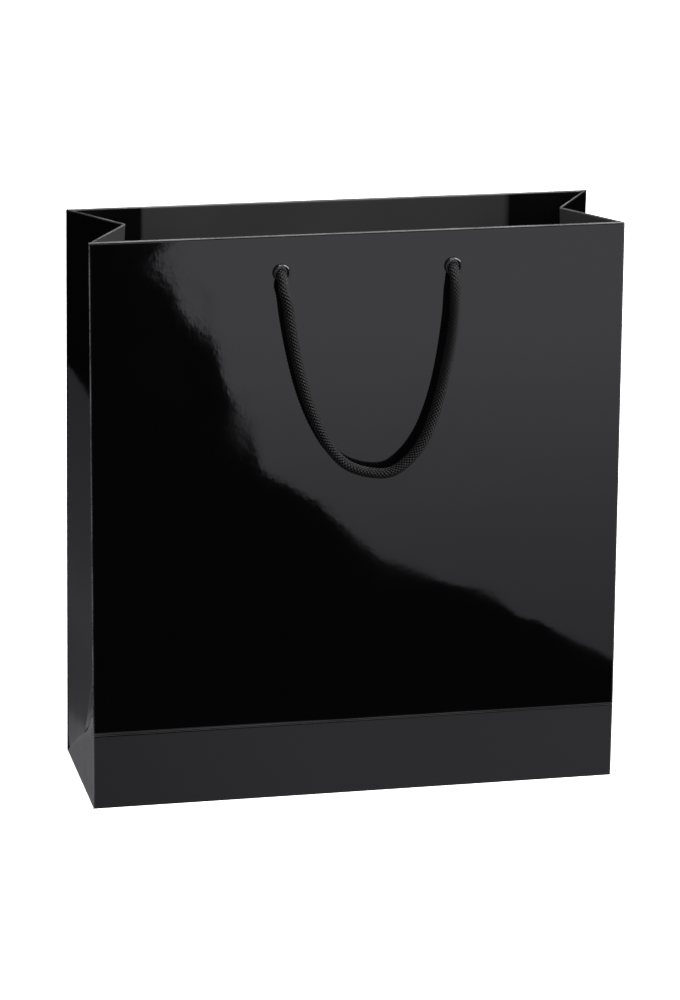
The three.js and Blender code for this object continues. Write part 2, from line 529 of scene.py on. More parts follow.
@dataclass
class Sheet:
    """A bent sheet of paper, given by the grid of points on its outer face."""

    points: np.ndarray
    # how much the gloss finish greys each point, partly as cracked ink and partly as painted
    # highlight along folds and edges
    wear: np.ndarray
    thickness: float
    inside_from: int | None = None
    # where the cuff finish paints its grey sheen; 0 leaves it dark as painted shade
    dull: np.ndarray | None = None

    def normals(self) -> np.ndarray:
        """Unit normals of the grid, along columns cross rows."""
        across = np.gradient(self.points, axis=1)
        along = np.gradient(self.points, axis=0)
        normal = np.cross(across, along)
        return normal / np.maximum(np.linalg.norm(normal, axis=2, keepdims=True), 1e-12)

    def build(self, name: str, finishes: "Finishes", outward: Point) -> bpy.types.Object:
        """Thickens the grid into one closed mesh.

        Args:
            name: the piece's name.
            finishes: the bag's materials, of which the grid's face gets the gloss one,
            its rows from inside_from on the cuff one with its painted sheen, and its back the raw
            one.
            outward: a direction that the outer face's first rows look towards.

        Returns:
            The finished piece.
        """
        normal = self.normals()
        first_rows = normal[: max(2, len(normal) // 3)]
        flip = float((first_rows.mean((0, 1)) * np.array(outward)).sum()) < 0
        if flip:
            normal = -normal
        rows, columns = self.points.shape[:2]
        count = rows * columns
        under = self.points - normal * self.thickness
        points = np.concatenate([self.points.reshape(-1, 3), under.reshape(-1, 3)])
        # painted sheen over the whole turned-in part unless a zone is given
        dull = np.ones((rows, columns)) if self.dull is None else self.dull
        amounts = {"wear": np.tile(self.wear.ravel(), 2), "dull": np.tile(dull.ravel(), 2)}
        faces, slots = [], []

        def add(a: int, b: int, c: int, d: int, slot: int) -> None:
            """Adds one face, turned to look outwards."""
            faces.append((a, d, c, b) if flip else (a, b, c, d))
            slots.append(slot)

        turned_in = rows if self.inside_from is None else self.inside_from
        for r in range(rows - 1):
            for c in range(columns - 1):
                a = r * columns + c
                add(a, a + 1, a + columns + 1, a + columns, int(r >= turned_in))
                b = a + count
                add(b, b + columns, b + columns + 1, b + 1, 2)
        for c in range(columns - 1):
            low, high = c, (rows - 1) * columns + c
            add(low, low + count, low + count + 1, low + 1, 1)
            add(high, high + 1, high + count + 1, high + count, 1)
        for r in range(rows - 1):
            left, right = r * columns, (r + 1) * columns - 1
            add(left, left + columns, left + columns + count, left + count, 1)
            add(right, right + count, right + columns + count, right + columns, 1)
        materials = (finishes.gloss, finishes.cuff, finishes.raw)
        return finished(name, points, faces, materials, amounts, slots)


def steps(low: float, high: float, fine: float, coarse: float, reach: float) -> np.ndarray:
    """Places along a length, close together near both ends.

    Args:
        low: the first place.
        high: the last place.
        fine: the spacing at the ends.
        coarse: the spacing in the middle.
        reach: how far from an end the spacing is fine.

    Returns:
        The places, in order.
    """
    near = np.arange(0.0, reach, fine)
    middle = np.linspace(low + reach, high - reach, max(2, round((high - low) / coarse)))
    return np.unique(np.concatenate([low + near, middle, high - near]))


def near(places: np.ndarray, lines: Sequence[float], width: float) -> np.ndarray:
    """How close places are to fold lines, 1 on a line and falling to 0.

    Args:
        places: the places.
        lines: the fold lines.
        width: the distance at which the value has fallen to about a third.

    Returns:
        A value for each place.
    """
    apart = np.abs(places[..., None] - np.array(lines)).min(-1)
    return np.exp(-((apart / width) ** 2))


def ripple(x: np.ndarray, z: np.ndarray, seed: float) -> np.ndarray:
    """A gentle unevenness of a large sheet, from -1 to 1.

    Args:
        x: places across the sheet, in metres.
        z: places up the sheet, in metres.
        seed: a number that makes each sheet's pattern its own.

    Returns:
        The unevenness at each place.
    """
    out = np.zeros(np.broadcast(x, z).shape)
    for i, j in np.ndindex(out.shape):
        spot = Vector((x[i, j] * 13.0, seed, z[i, j] * 10.0))
        out[i, j] = noise.noise(spot) + 0.35 * noise.noise(spot * 3.1)
    return out


def turned(
    name: str,
    profile: Sequence[tuple[float, float]],
    place: Callable[[float, float, float], Point],
    material: bpy.types.Material,
    sides: int = 72,
) -> bpy.types.Object:
    """A closed ring turned about a wall's normal.

    Args:
        name: the piece's name.
        profile: (radius, distance out of the wall) points of its closed section, in order.
        place: gives the row-frame point of (across, up) offsets and a distance out.
        material: its finish.
        sides: how many flats it has all round.

    Returns:
        The finished ring.
    """
    points = []
    for k in range(sides):
        turn = 2 * math.pi * k / sides
        for radius, out in profile:
            points.append(place(radius * math.cos(turn), radius * math.sin(turn), out))
    count = len(profile)
    faces = []
    for k in range(sides):
        here, there = k * count, ((k + 1) % sides) * count
        for i in range(count):
            j = (i + 1) % count
            faces.append((here + i, there + i, there + j, here + j))
    piece = finished(name, np.array(points), faces, (material,))
    face_out(piece)
    return piece


def face_out(piece: bpy.types.Object) -> None:
    """Turns a closed mesh's faces over if they look inwards.

    Args:
        piece: the piece to look at.
    """
    mesh = piece.data
    volume = 0.0
    for polygon in mesh.polygons:
        corners = [mesh.vertices[i].co for i in polygon.vertices]
        for b, c in zip(corners[1:], corners[2:]):
            volume += corners[0].dot(b.cross(c))
    if volume < 0:
        mesh.flip_normals()


# ---------------------------------------------------------------- the bag


@dataclass(frozen=True)
class BagSizes:
    """The sizes that every piece is worked out from, in metres."""

    half_width: float
    half_base: float
    half_mouth: float
    height: float
    crease: float
    paper: float
    cuff: float
    cuff_half_width: float

    @staticmethod
    def from_frame() -> "BagSizes":
        """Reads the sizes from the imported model."""
        low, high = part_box("bottom_outer_flap")
        rim_low, rim_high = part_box("front_cuff")
        joint = next(j for j in frame["joints"] if j["name"] == "mouth_close")
        return BagSizes(
            half_width=high.x,
            half_base=high.y,
            half_mouth=-rim_low.y,
            height=rim_high.z,
            crease=joint["pos_m"][2],
            paper=high.z - low.z,
            cuff=rim_high.z - rim_low.z,
            cuff_half_width=rim_high.x,
        )

    @property
    def tuck(self) -> float:
        """How far the gusset's middle fold stands in at the rim."""
        return math.sqrt(self.half_base**2 - self.half_mouth**2)


@dataclass
class Finishes:
    """Every material of the bag, made once."""

    gloss: bpy.types.Material
    cuff: bpy.types.Material
    raw: bpy.types.Material
    board: bpy.types.Material
    metal: bpy.types.Material
    yarn: bpy.types.Material

    @staticmethod
    def made() -> "Finishes":
        """Makes the materials."""
        return Finishes(
            GlossLaminate().material(), CuffLaminate().material(), Fibrous().material(),
            GREY_BOARD.material(), EnamelledMetal().material(), BraidedYarn().material(),
        )


@dataclass
class MainWall:
    """The front or the rear wall, with its rim turned over a card."""

    sizes: BagSizes
    facing: Facing
    foot: float
    stack: float = 2.6 * MM
    corner: float = 0.5 * MM
    swell: float = 0.11 * MM
    swell_rise: float = 2.2 * MM
    # half widths, left and right, of the cuff's painted sheen zone
    sheen_half: tuple[float, float] = (126 * MM, 121 * MM)
    unevenness: float = 0.15 * MM
    calm_edge: tuple[float, float] = (22 * MM, 20 * MM)
    curl: float = math.radians(58)
    seed: float = 3.7

    @property
    def name(self) -> str:
        """The wall's name in the frame."""
        return self.facing.name.lower()

    @property
    def lean(self) -> float:
        """How far the wall leans in, in radians."""
        rise = self.sizes.height - self.foot
        return math.atan((self.sizes.half_base - self.sizes.half_mouth) / rise)

    @property
    def length(self) -> float:
        """The wall's length from its fold to the rim."""
        return (self.sizes.height - self.foot) / math.cos(self.lean)

    def place(self, x: float, up: float, out: float) -> Point:
        """A point on or off the wall.

        Args:
            x: across the bag.
            up: along the wall from its fold.
            out: out of the wall's outer face.

        Returns:
            The point in the row frame.
        """
        deep = self.sizes.half_base - up * math.sin(self.lean) + out * math.cos(self.lean)
        height = self.foot + up * math.cos(self.lean) + out * math.sin(self.lean)
        return (x, self.facing.value * deep, height)

    def profile(self) -> list[tuple[float, float, float]]:
        """(up, out, half width) along the sheet: up the wall, over the rim and down inside."""
        top = self.length
        bead = self.stack / 2
        wide = self.sizes.half_width
        rows = [(up, 0.0, wide) for up in steps(0.4 * MM, top - bead, 0.4 * MM, 3.6 * MM, 8 * MM)]
        for turn in np.linspace(0, math.pi, 13)[1:]:
            narrow = (wide - self.sizes.cuff_half_width) * max(0.0, -math.cos(turn))
            up = top - bead + bead * math.sin(turn)
            rows.append((up, bead * (math.cos(turn) - 1), wide - narrow))
        inside = np.linspace(top - bead - 1 * MM, top - self.sizes.cuff, 16)
        rows += [(up, -self.stack, self.sizes.cuff_half_width) for up in inside]
        return rows

    def build(self, finishes: Finishes) -> bpy.types.Object:
        """Builds the wall's sheet.

        Args:
            finishes: the bag's materials.

        Returns:
            The sheet, riding on its wall.
        """
        rows = self.profile()
        bend = self.corner
        flat = steps(-1.0, 1.0, 0.003, 0.014, 0.012)
        curl = np.linspace(0, self.curl, 6)[1:]
        grid = []
        for up, out, half in rows:
            reach = half - bend * math.sin(curl[-1])
            line = [(x * reach, 0.0) for x in flat]
            ends = [(reach + bend * math.sin(t), bend * (math.cos(t) - 1)) for t in curl]
            full = [(-x, d) for x, d in reversed(ends)] + line + ends
            if out < -bend:
                full = [(x, 0.0) for x, _ in full]
            grid.append([(x, up, out + d) for x, d in full])
        local = np.array(grid)
        wobble = ripple(local[..., 0], local[..., 1], self.seed * self.facing.value)
        wide = self.sizes.half_width
        ease = 1 - near(local[..., 0], (-wide, wide), self.calm_edge[0])
        ease *= 1 - near(local[..., 1], (0.0, self.length), self.calm_edge[1])
        outside = local[..., 2] > -bend
        local[..., 2] += np.where(outside, wobble * ease * self.unevenness, 0.0)
        rise = local[..., 1] / self.swell_rise
        lean_left = np.clip(0.1 - local[..., 0] / wide, 0, 1)
        swell = self.swell * rise * np.exp(1 - rise) * lean_left * (self.foot > 0)
        local[..., 2] += np.where(local[..., 2] > -bend, swell, 0.0)
        points = np.apply_along_axis(lambda p: np.array(self.place(*p)), 2, local)
        # side edges, fold and rim greyed as cracked ink and painted highlight
        edge_x = near(np.abs(local[..., 0]), (wide,), 0.5 * MM)
        edge_z = near(local[..., 1], (0.0, self.length), 0.6 * MM)
        wear = np.maximum(edge_x, edge_z * 0.9)
        # the cuff's painted sheen across the wall, with narrow dark bands of painted shade near both
        # corners
        left, right = self.sheen_half
        across = local[..., 0]
        dull = np.clip((across + left) / (0.5 * MM), 0, 1) * np.clip((right - across) / MM, 0, 1)
        inside = next(i for i, (_, out, _) in enumerate(rows) if out < -0.9 * self.stack)
        sheet = Sheet(points, wear, self.sizes.paper, inside, dull)
        piece = sheet.build(f"{self.name}_wall_sheet", finishes, (0.0, self.facing.value, 0.0))
        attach(piece, f"{self.name}_wall")
        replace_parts(piece, f"{self.name}_panel", f"{self.name}_cuff")
        return piece


@dataclass
class BaseStrip:
    """The part of the front below the crease, which stays upright."""

    sizes: BagSizes
    corner: float = 0.6 * MM
    roll: float = 0.9 * MM

    def build(self, finishes: Finishes) -> bpy.types.Object:
        """Builds the strip with rounded sides and bottom.

        Args:
            finishes: the bag's materials.

        Returns:
            The strip, riding on the base.
        """
        bend = self.corner
        flat = steps(-1.0, 1.0, 0.003, 0.02, 0.012)
        curl = np.linspace(0, math.radians(80), 7)[1:]
        reach = self.sizes.half_width - bend * math.sin(curl[-1])
        ends = [(reach + bend * math.sin(t), bend * (1 - math.cos(t))) for t in curl]
        across = [(-x, d) for x, d in reversed(ends)] + [(x * reach, 0.0) for x in flat] + ends
        rows = [(bend * (1 - math.sin(t)), bend * (1 - math.cos(t))) for t in curl[::-1]]
        top = self.sizes.crease - 0.2 * MM
        for z in steps(bend, top, 0.25 * MM, 3 * MM, 3 * MM):
            rows.append((z, max(0.0, z - top + self.roll) ** 2 / (2 * self.roll)))
        points = np.array([
            [(x, -self.sizes.half_base + max(d, lift), z) for x, d in across] for z, lift in rows
        ])
        # side edges greyed as cracked ink and painted highlight
        edge_x = near(np.abs(points[..., 0]), (self.sizes.half_width,), 0.5 * MM)
        edge_z = near(points[..., 2], (self.sizes.crease,), 0.6 * MM)
        wear = np.maximum(edge_x, edge_z * 0.1)
        piece = Sheet(points, wear, self.sizes.paper).build(
            "front_strip_sheet", finishes, (0.0, -1.0, 0.0)
        )
        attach(piece, "base")
        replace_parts(piece, "front_base_strip")
        return piece


@dataclass
class HalfGusset:
    """The front or rear half of a side, from the wall's edge to the middle fold."""

    sizes: BagSizes
    side: Side
    facing: Facing
    curve: float = 0.6
    hem_radius: float = 0.5 * MM
    edge_inset: float = 1.1 * MM
    side_inset: float = 0.45 * MM
    foot_inset: float = 0.6 * MM
    foot_reach: float = 0.012
    unevenness: float = 0.44 * MM
    turns: int = 8

    @property
    def name(self) -> str:
        """The half gusset's name in the frame."""
        return f"{self.side.name.lower()}_{self.facing.name.lower()}_gusset"

    @property
    def foot(self) -> float:
        """The height of the wall's fold at this edge."""
        return self.sizes.crease if self.facing is Facing.FRONT else 0.0

    def tuck_at(self, rise: float) -> float:
        """How far in the middle fold stands, at a rise from 0 at its foot to 1 at the rim."""
        return self.sizes.tuck * max(0.0, rise) ** self.curve

    def place(self, across: float, rise: float) -> np.ndarray:
        """A point on the outer face.

        Args:
            across: 0 at the wall's edge and 1 at the middle fold.
            rise: 0 at the slanting fold and 1 at the rim.

        Returns:
            The point in the row frame.
        """
        size = self.sizes
        middle = size.crease / 2
        edge_z = self.foot + (size.height - self.foot) * rise
        middle_z = middle + (size.height - middle) * rise
        edge_y = size.half_base - (size.half_base - size.half_mouth) * rise - self.edge_inset / 2
        tuck = self.tuck_at(rise)
        start = self.side_inset + self.foot_inset * math.exp(-((rise / self.foot_reach) ** 2))
        x = size.half_width - start - (tuck - start) * across
        y = edge_y * (1 - across)
        z = edge_z + (middle_z - edge_z) * across
        return np.array([self.side.value * x, self.facing.value * y, z])

    def build(self, finishes: Finishes) -> bpy.types.Object:
        """Builds the sheet with its hem turned down inside.

        Args:
            finishes: the bag's materials.

        Returns:
            The sheet, with its place baked into its points.
        """
        size = self.sizes
        tall = size.height - size.crease / 2
        columns = steps(0.0, 1.0, 0.012, 0.06, 0.06)
        sink = 0.0 if self.facing is Facing.REAR else -0.004
        rises = steps(sink, 1.0 - self.hem_radius / tall, 0.002, 0.02, 0.012)
        outer = np.array([[self.place(u, v) for u in columns] for v in rises])
        seed = 9.1 + self.side.value + 3 * self.facing.value
        wobble = ripple(outer[..., 1], outer[..., 2], seed)
        ease = np.sin(np.clip(columns, 0, 1) * math.pi) * np.clip(1 - rises, 0.05, 1)[:, None]
        outer[..., 0] += wobble * ease * self.unevenness
        normal = Sheet(outer, np.zeros(outer.shape[:2]), 0.0).normals()
        if normal[..., 0].mean() * self.side.value < 0:
            normal = -normal
        bead = self.hem_radius
        extra = []
        for turn in np.linspace(0, math.pi, self.turns + 1)[1:]:
            lift = np.array([0.0, 0.0, bead * math.sin(turn)])
            extra.append(outer[-1] + lift + normal[-1] * bead * (math.cos(turn) - 1))
        hem = [v for v in rises[::-1] if v > 1.0 - size.cuff / tall][1:]
        for v in hem:
            row = int(np.searchsorted(rises, v))
            extra.append(outer[row] - normal[row] * 2 * bead)
        points = np.concatenate([outer, np.array(extra)])
        # middle fold and rim greyed as cracked ink and painted highlight
        edge_u = near(columns, (1.0,), 0.012)
        folded = len(rises) + self.turns
        rim_wear_and_highlight = near(np.concatenate([rises, np.ones(self.turns)]), (1.0,), 0.0016)
        row_wear_and_highlight = np.concatenate([rim_wear_and_highlight, np.zeros(len(hem))])
        wear = np.maximum(edge_u[None, :] * 0.8, row_wear_and_highlight[:, None])
        sheet = Sheet(points, wear, size.paper, folded)
        piece = sheet.build(f"{self.name}_sheet", finishes, (self.side.value, 0.0, 0.0))
        wall = f"{self.facing.name.lower()}_wall"
        edge = (self.side.value * size.half_width, self.facing.value * size.half_base)
        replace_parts(piece, self.name, f"{self.name}_hem")
        f"{self.name}_fold"
        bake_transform(piece)
        return piece


@dataclass
class FootFold:
    """The crumpled triangle at the bottom of a side, under the slanting fold."""

    sizes: BagSizes
    side: Side
    crumple: float = 0.35 * MM
    rise: float = 5.2 * MM
    bulge: float = 1.8 * MM
    heel_gap: float = 0.3 * MM
    corner_gap: float = 0.8 * MM
    lap: float = 0.9 * MM
    lift: float = 0.25 * MM
    bend: float = 0.9 * MM
    roll: float = 1.1 * MM
    crease_width: float = 1.6 * MM
    set_back: float = 0.12

    @property
    def name(self) -> str:
        """The fold's name in the frame."""
        return f"{self.side.name.lower()}_foot_fold"

    def build(self, finishes: Finishes) -> bpy.types.Object:
        """Builds the triangle as a grid that narrows to the rear corner.

        Args:
            finishes: the bag's materials.

        Returns:
            The sheet, riding on the base.
        """
        size = self.sizes
        span = 2 * size.half_base - self.heel_gap - self.corner_gap
        columns = steps(0.004, 1.0, 0.006, 0.03, 0.03)
        rows = steps(0.0, 1.0, 0.02, 0.08, 0.06)
        grid = []
        for v in rows:
            line = []
            for u in columns:
                y = size.half_base - self.heel_gap - span * u
                top = size.crease * u + self.lap
                if self.side is Side.LEFT:
                    top += self.rise * u + self.bulge * math.sin(math.pi * u)
                z = self.lift + (top - self.lift) * v
                low_bend = max(0.0, self.bend - z)
                spot = Vector((y * 42.0, z * 42.0, 2.3 * self.side.value))
                middle = math.sin(math.pi * min(1.0, v)) * math.sin(math.pi * u)
                dent = noise.noise(spot) * middle + 0.5 * abs(noise.noise(spot * 2.3)) * middle
                off_crease = (y + z * 0.75 - 12 * MM) / self.crease_width
                ridge = math.exp(-(off_crease**2)) * 0.35 * middle
                rolled = max(0.0, z - (top - self.roll))
                inward = low_bend**2 / self.bend + rolled**2 / (1.6 * MM)
                inward += self.crumple * (1 - v * v) * (dent * 1.4 - ridge)
                y += max(0.0, z - size.crease) * self.set_back
                line.append((self.side.value * (size.half_width - max(0.0, inward)), y, z))
            grid.append(line)
        points = np.array(grid)
        # folds and edges greyed as cracked ink and painted highlight
        wear = np.maximum(
            near(rows, (0.0, 1.0), 0.05)[:, None], near(columns, (1.0,), 0.012)[None, :]
        )
        piece = Sheet(points, wear, size.paper).build(
            f"{self.name}_sheet", finishes, (self.side.value, 0.0, 0.0)
        )
        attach(piece, "base")
        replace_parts(piece, self.name)
        return piece


@dataclass
class Eyelet:
    """A pressed metal ring that lines a hole through a wall."""

    wall: MainWall
    side: Side
    hole: float = 3.85 * MM
    barrel: float = 4.3 * MM
    flange: float = 5.85 * MM
    dome: float = 1.35 * MM
    roll: float = 1.0 * MM

    @property
    def name(self) -> str:
        """The eyelet's name in the frame."""
        return f"{self.wall.name}_{self.side.name.lower()}_eyelet"

    def centre(self) -> tuple[float, float]:
        """The hole's place across and up the wall."""
        low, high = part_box(self.name)
        middle = (low + high) / 2
        rise = (middle.z - self.wall.foot) / math.cos(self.wall.lean)
        return middle.x, rise

    def section(self) -> list[tuple[float, float]]:
        """(radius, out) points round the ring's section."""
        inner = -self.wall.stack
        middle, half = (self.hole + self.flange) / 2, (self.flange - self.hole) / 2
        dome = [
            (middle - half * math.cos(t), 0.5 * MM + self.dome * math.sin(t))
            for t in np.linspace(0, math.pi, 11)
        ]
        roll = [
            (middle + half * math.cos(t), inner - 0.5 * MM - self.roll * math.sin(t))
            for t in np.linspace(0, math.pi, 9)
        ]
        return [
            *dome, (self.flange, 0.02 * MM), (self.barrel, 0.02 * MM), (self.barrel, inner),
            (self.flange, inner), *roll,
        ]

    def build(self, finishes: Finishes) -> bpy.types.Object:
        """Builds the ring.

        Args:
            finishes: the bag's materials.

        Returns:
            The ring, riding on its wall.
        """
        x, up = self.centre()
        piece = turned(
            f"{self.name}_ring", self.section(),
            lambda a, b, out: self.wall.place(x + a, up + b, out), finishes.metal,
        )
        lip = (self.hole + self.flange) / 2
        centre = Vector(self.wall.place(x, up, 0.0))
        worn = piece.data.attributes.new("worn", "FLOAT", "POINT").data
        for vertex, amount in zip(piece.data.vertices, worn):
            away = vertex.co - centre
            radius = math.hypot(away.x, away.z)
            top = min(1.0, max(0.0, (away.z / radius - 0.86) / 0.06))
            amount.value = top * min(1.0, max(0.0, (lip - radius) / (0.25 * MM)))
        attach(piece, f"{self.wall.name}_wall")
        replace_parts(piece, self.name)
        return piece


@dataclass(frozen=True)
class Braid:
    """A tubular braid that geometry nodes lay along a path."""

    radius: float = 3.25 * MM
    relief: float = 0.7 * MM
    strands: int = 8
    pitch: float = 2.4 * MM
    sides: int = 96
    step: float = 0.37 * MM

    def tree(self, material: bpy.types.Material) -> bpy.types.NodeTree:
        """Builds the node tree.

        Args:
            material: the yarn's finish.

        Returns:
            The tree, which turns a path into a braided tube.
        """
        group = bpy.data.node_groups.new("tubular_braid", "GeometryNodeTree")
        face = group.interface
        face.new_socket("Geometry", in_out="INPUT", socket_type="NodeSocketGeometry")
        for name in ("Radius", "Relief", "Pitch", "Step", "Strands", "Sides"):
            kind = "NodeSocketInt" if name in ("Strands", "Sides") else "NodeSocketFloat"
            face.new_socket(name, in_out="INPUT", socket_type=kind)
        face.new_socket("Geometry", in_out="OUTPUT", socket_type="NodeSocketGeometry")
        tree = Tree(group)
        given = tree.node("NodeGroupInput").outputs
        path = tree.out("GeometryNodeResampleCurve", {"mode": "LENGTH"}, {
            "Curve": given["Geometry"], "Length": given["Step"],
        })
        path_kept = tree.kept(
            path, "Along", tree.node("GeometryNodeSplineParameter").outputs["Length"]
        )
        ring = tree.out("GeometryNodeCurvePrimitiveCircle", {}, {
            "Resolution": given["Sides"], "Radius": given["Radius"],
        })
        ring_kept = tree.kept(
            ring, "Around", tree.node("GeometryNodeSplineParameter").outputs["Factor"]
        )
        tube = tree.out("GeometryNodeCurveToMesh", {}, {
            "Curve": path_kept.outputs["Geometry"],
            "Profile Curve": ring_kept.outputs["Geometry"],
            "Fill Caps": True,
        })
        turns = tree.num(ring_kept, "Around") * Num(tree, given["Strands"])
        lengths = tree.num(path_kept, "Along").math("DIVIDE", Num(tree, given["Pitch"]))
        one = (turns + lengths) * math.pi
        other = (turns - lengths) * math.pi
        crossing = (one.sine() * other.sine()).math("ABSOLUTE").math("POWER", 0.6)
        ribs = (one * 2.0).sine().larger((other * 2.0).sine())
        height = crossing * 0.8 + ribs * 0.2
        stored = tree.out(
            "GeometryNodeStoreNamedAttribute", {"data_type": "FLOAT", "domain": "POINT"},
            {"Geometry": tube, "Name": "braid", "Value": height},
        )
        push = tree.out("ShaderNodeVectorMath", {"operation": "SCALE"}, {
            0: tree.node("GeometryNodeInputNormal").outputs["Normal"],
            "Scale": (height - 0.5) * Num(tree, given["Relief"]),
        })
        shape = tree.out("GeometryNodeSetPosition", {}, {"Geometry": stored, "Offset": push})
        for kind, inputs in (
            ("GeometryNodeSetShadeSmooth", {}),
            ("GeometryNodeRealizeInstances", {}),
            ("GeometryNodeSetMaterial", {"Material": material}),
        ):
            shape = tree.out(kind, {}, {"Geometry": shape, **inputs})
        tree.node("NodeGroupOutput", {}, {"Geometry": shape})
        return group

    def lay(
        self, name: str, path: np.ndarray, tree: bpy.types.NodeTree, thick: float = 1.0
    ) -> bpy.types.Object:
        """Lays the braid along a path.

        Args:
            name: the piece's name.
            path: the points of the centre line.
            tree: the tree from tree().
            thick: how much thicker or thinner than usual it is.

        Returns:
            The braided tube, as a plain mesh.
        """
        curve = bpy.data.curves.new(f"{name}_path", "CURVE")
        curve.dimensions = "3D"
        spline = curve.splines.new("POLY")
        spline.points.add(len(path) - 1)
        spline.points.foreach_set("co", np.c_[path, np.ones(len(path))].ravel())
        guide = linked(f"{name}_path", curve)
        modifier = guide.modifiers.new("braid", "NODES")
        modifier.node_group = tree
        values = {
            "Radius": self.radius * thick, "Relief": self.relief, "Pitch": self.pitch,
            "Step": self.step, "Strands": self.strands, "Sides": self.sides,
        }
        for item in tree.interface.items_tree:
            if item.in_out == "INPUT" and item.name in values:
                modifier[item.identifier] = values[item.name]
        graph = bpy.context.evaluated_depsgraph_get()
        mesh = bpy.data.meshes.new_from_object(guide.evaluated_get(graph))
        bpy.data.objects.remove(guide)
        mesh.name = name
        piece = linked(name, mesh)
        face_out(piece)
        LOG.info("%s: %d faces", name, len(mesh.polygons))
        return piece


@dataclass
class RopeHandle:
    """A braided rope that hangs in a loop from two eyelets, knotted inside.

    ROUTE holds (across, down, out) points from the middle between the eyelets, out from the
    wall. It, the bend, the sag and the knot's sizes are in millimetres.
    """

    wall: MainWall
    finishes: Finishes
    braid_tree: bpy.types.NodeTree
    braid: Braid = Braid()
    length: float = 0.33
    spacing: float = 113 * MM
    bend: float = 17.0
    droop: float = math.radians(30)
    sag: float = 1.0
    knot_size: float = 1.5
    knot_depth: float = 10.0
    knot_opening: float = 0.35
    tail_thickness: float = 0.8

    ROUTE = (
        (-54.9, 16, 9.3), (-53, 29, 10), (-50.9, 42, 10), (-48.1, 56, 9.8),
        (-44.3, 71.5, 9.8), (-39.1, 88, 9.7), (-32.7, 103, 9.1), (-24.5, 117, 8.2),
        (-14.3, 127.5, 7.3), (0, 133.2, 7.1), (14.5, 133.6, 8), (26.7, 125.4, 9),
        (36.5, 112.2, 9.4), (42.9, 96.8, 8.9), (47.6, 80.4, 8.6), (51, 64, 9), (53.7, 48, 9.9),
        (55.6, 32, 10.2), (56.2, 17, 9.3),
    )

    def middle(self) -> tuple[float, float]:
        """The middle between the two holes, across and up the wall."""
        left = Eyelet(self.wall, Side.LEFT).centre()
        right = Eyelet(self.wall, Side.RIGHT).centre()
        return (left[0] + right[0]) / 2, left[1]

    def bend_at(self, side: Side) -> list[Point]:
        """Works out the bend where the rope comes out of an eyelet, in millimetres.

        Args:
            side: which eyelet.

        Returns:
            (across, down, out) points from the knot through the eyelet and round the bend.
        """
        x = side.value * self.spacing / 2 / MM
        deep = 4.5
        points = [(x, self.sag - deep * math.tan(self.droop), -deep), (x, self.sag, 0.0)]
        for turn in (42, 56, 72):
            angle = math.radians(turn)
            out = self.bend * (math.sin(angle) - math.sin(self.droop))
            down = self.sag + self.bend * (math.cos(self.droop) - math.cos(angle))
            points.append((x, down, out))
        return points

    def route(self) -> list[Point]:
        """The centre line's chosen points, in the row frame."""
        middle, up = self.middle()
        local = self.bend_at(Side.LEFT) + list(self.ROUTE) + self.bend_at(Side.RIGHT)[::-1]
        sign = -1 if self.wall.facing is Facing.REAR else 1
        return [
            self.wall.place(middle + sign * x * MM, up - down * MM, out * MM)
            for x, down, out in local
        ]

    def knot(self, side: Side) -> bpy.types.Object:
        """Builds the overhand knot behind an eyelet, with its tail.

        Args:
            side: which eyelet.

        Returns:
            The knot, riding on the wall.
        """
        middle, up = self.middle()
        x = middle + side.value * self.spacing / 2
        loops = []
        for turn in np.linspace(self.knot_opening, 2 * math.pi - self.knot_opening, 22):
            across = self.knot_size * (math.sin(turn) + 2 * math.sin(2 * turn))
            rise = self.knot_size * (math.cos(turn) - 2 * math.cos(2 * turn))
            loops.append((across, -rise * 0.9, -self.knot_depth - 2.2 * math.sin(3 * turn)))
        tail = [(2.6, 10.0, -9.0), (2.9, 17.0, -7.6), (2.4, 23.0, -7.0)]
        lead = [(0.0, -1.7, -4.0), (0.0, -2.6, -6.0)]
        points = [
            self.wall.place(x + a * MM, up - down * MM, out * MM)
            for a, down, out in lead + loops + tail
        ]
        name = f"{self.wall.name}_{side.name.lower()}_knot"
        line = curve_through(points, 0.3 * MM)
        piece = self.braid.lay(name, line, self.braid_tree, self.tail_thickness)
        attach(piece, f"{self.wall.name}_wall")
        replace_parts(piece, f"{self.wall.name}_{side.name.lower()}_rope_end")
        return piece

    def build(self) -> bpy.types.Object:
        """Returns:
            The rope, with its place baked into its points.
        """
        name = self.wall.name
        line = curve_through(self.route(), 1.0 * MM)
        piece = self.braid.lay(f"{name}_rope", line, self.braid_tree)
        knots = [self.knot(side) for side in Side]
        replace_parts(piece, f"{name}_rope_handle")
        joint = next(j for j in frame["joints"] if j["name"] == f"{name}_handle_swing")
        axis = Vector(joint["pos_m"])
        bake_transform(piece)
        middle, up = self.middle()
        exit_at = middle + self.wall.facing.value * self.spacing / 2
        self.wall.place(exit_at, up, 0.0)
        self.length
        return piece


